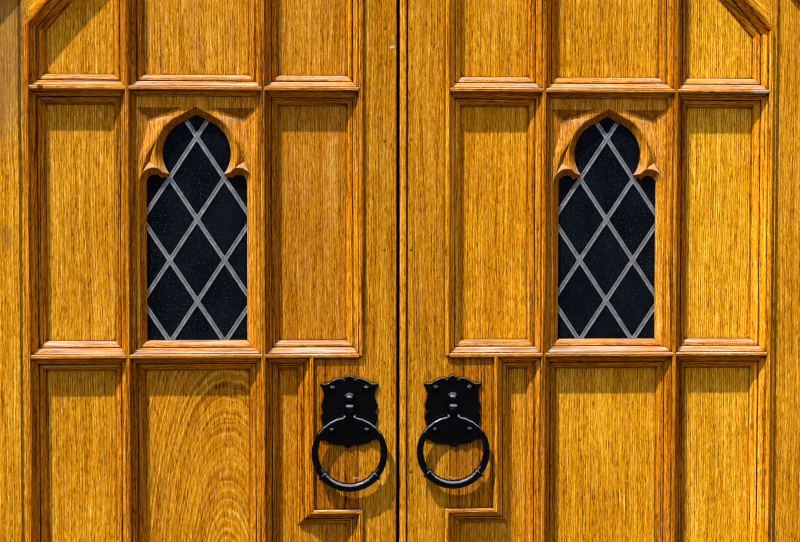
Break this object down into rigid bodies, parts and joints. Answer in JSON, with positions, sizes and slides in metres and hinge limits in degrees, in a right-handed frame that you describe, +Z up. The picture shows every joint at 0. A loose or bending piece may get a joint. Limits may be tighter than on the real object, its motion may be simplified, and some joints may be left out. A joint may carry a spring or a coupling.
{
  "type": "arched double door with frame",
  "caption": "Pointed-arch pair of panelled oak doors in their frame, with leaded lights and iron ring handles.",
  "frame": {"origin": "on the floor under the threshold, midway between the leaves and midway through their thickness", "axes": "+X along the doorway to the right seen from outside, +Y into the building, +Z up; the outer face looks along -Y"},
  "size_m": [1.686, 0.127, 2.4473],
  "materials": {
    "oak_framing": "oiled golden oak",
    "oak_panel": "oiled golden oak",
    "oak_moulding": "oiled oak, weathered on top",
    "oak_carving": "carved oak",
    "oak_frame": "oiled oak",
    "black_iron": "black, half gloss",
    "inner_iron": "black, dull",
    "lead": "weathered lead came",
    "window_glass": "dark, dusty",
    "threshold_stone": "worn stone sill"
  },
  "bodies": {
    "frame": {"jambs": "oak_frame", "frame_head": "oak_frame", "threshold": "threshold_stone", "pintles": "inner_iron", "head_bolt_keep": "inner_iron"},
    "left_leaf": {"left_arch_moulding": "oak_moulding", "left_band_bolts": "inner_iron", "left_block_mouldings": "oak_moulding", "left_bottom_rail": "oak_framing", "left_foot_bolt_guides": "inner_iron", "left_frame_mouldings": "oak_moulding", "left_handle_plate": "black_iron", "left_handle_staple": "black_iron", "left_handle_studs": "black_iron", "left_head_bolt_guides": "inner_iron", "left_head_rail": "oak_framing", "left_hinge_bands": "inner_iron", "left_hinge_stile": "oak_framing", "left_inner_mullion": "oak_moulding", "left_lock_block": "oak_framing", "left_lower_panels": "oak_panel", "left_meeting_stile": "oak_framing", "left_middle_panels": "oak_panel", "left_middle_transom": "oak_moulding", "left_outer_mullion": "oak_moulding", "left_sash_beads": "oak_moulding", "left_tracery": "oak_carving", "left_upper_panels": "oak_panel", "left_upper_transom": "oak_moulding", "left_window_glass": "window_glass", "left_window_leads": "lead"},
    "right_leaf": {"right_arch_moulding": "oak_moulding", "right_band_bolts": "inner_iron", "right_block_mouldings": "oak_moulding", "right_bottom_rail": "oak_framing", "right_frame_mouldings": "oak_moulding", "right_handle_plate": "black_iron", "right_handle_staple": "black_iron", "right_handle_studs": "black_iron", "right_head_rail": "oak_framing", "right_hinge_bands": "inner_iron", "right_hinge_stile": "oak_framing", "right_inner_mullion": "oak_moulding", "right_lock_block": "oak_framing", "right_lower_panels": "oak_panel", "right_meeting_bead": "oak_moulding", "right_meeting_stile": "oak_framing", "right_middle_panels": "oak_panel", "right_middle_transom": "oak_moulding", "right_outer_mullion": "oak_moulding", "right_sash_beads": "oak_moulding", "right_tracery": "oak_carving", "right_upper_panels": "oak_panel", "right_upper_transom": "oak_moulding", "right_window_glass": "window_glass", "right_window_leads": "lead"},
    "left_ring": {"left_ring": "black_iron"},
    "right_ring": {"right_ring": "black_iron"},
    "left_foot_bolt": {"left_foot_bolt": "inner_iron"},
    "left_head_bolt": {"left_head_bolt": "inner_iron"}
  },
  "joints": [
    {"name": "left_leaf_hinge", "type": "hinge", "parent": "frame", "child": "left_leaf", "pos_m": [-0.777, 0.0375, 1], "axis": [0, 0, 1], "range_deg": [0, 90]},
    {"name": "right_leaf_hinge", "type": "hinge", "parent": "frame", "child": "right_leaf", "pos_m": [0.777, 0.0375, 1], "axis": [0, 0, -1], "range_deg": [0, 90]},
    {"name": "left_ring_swing", "type": "hinge", "parent": "left_leaf", "child": "left_ring", "pos_m": [-0.102, -0.045, 1.04], "axis": [-1, 0, 0], "range_deg": [-4, 175]},
    {"name": "right_ring_swing", "type": "hinge", "parent": "right_leaf", "child": "right_ring", "pos_m": [0.09, -0.045, 1.04], "axis": [-1, 0, 0], "range_deg": [-4, 175]},
    {"name": "left_foot_bolt_slide", "type": "slide", "parent": "left_leaf", "child": "left_foot_bolt", "axis": [0, 0, -1], "range_m": [0, 0.022]},
    {"name": "left_head_bolt_slide", "type": "slide", "parent": "left_leaf", "child": "left_head_bolt", "axis": [0, 0, 1], "range_m": [0, 0.022]}
  ]
}
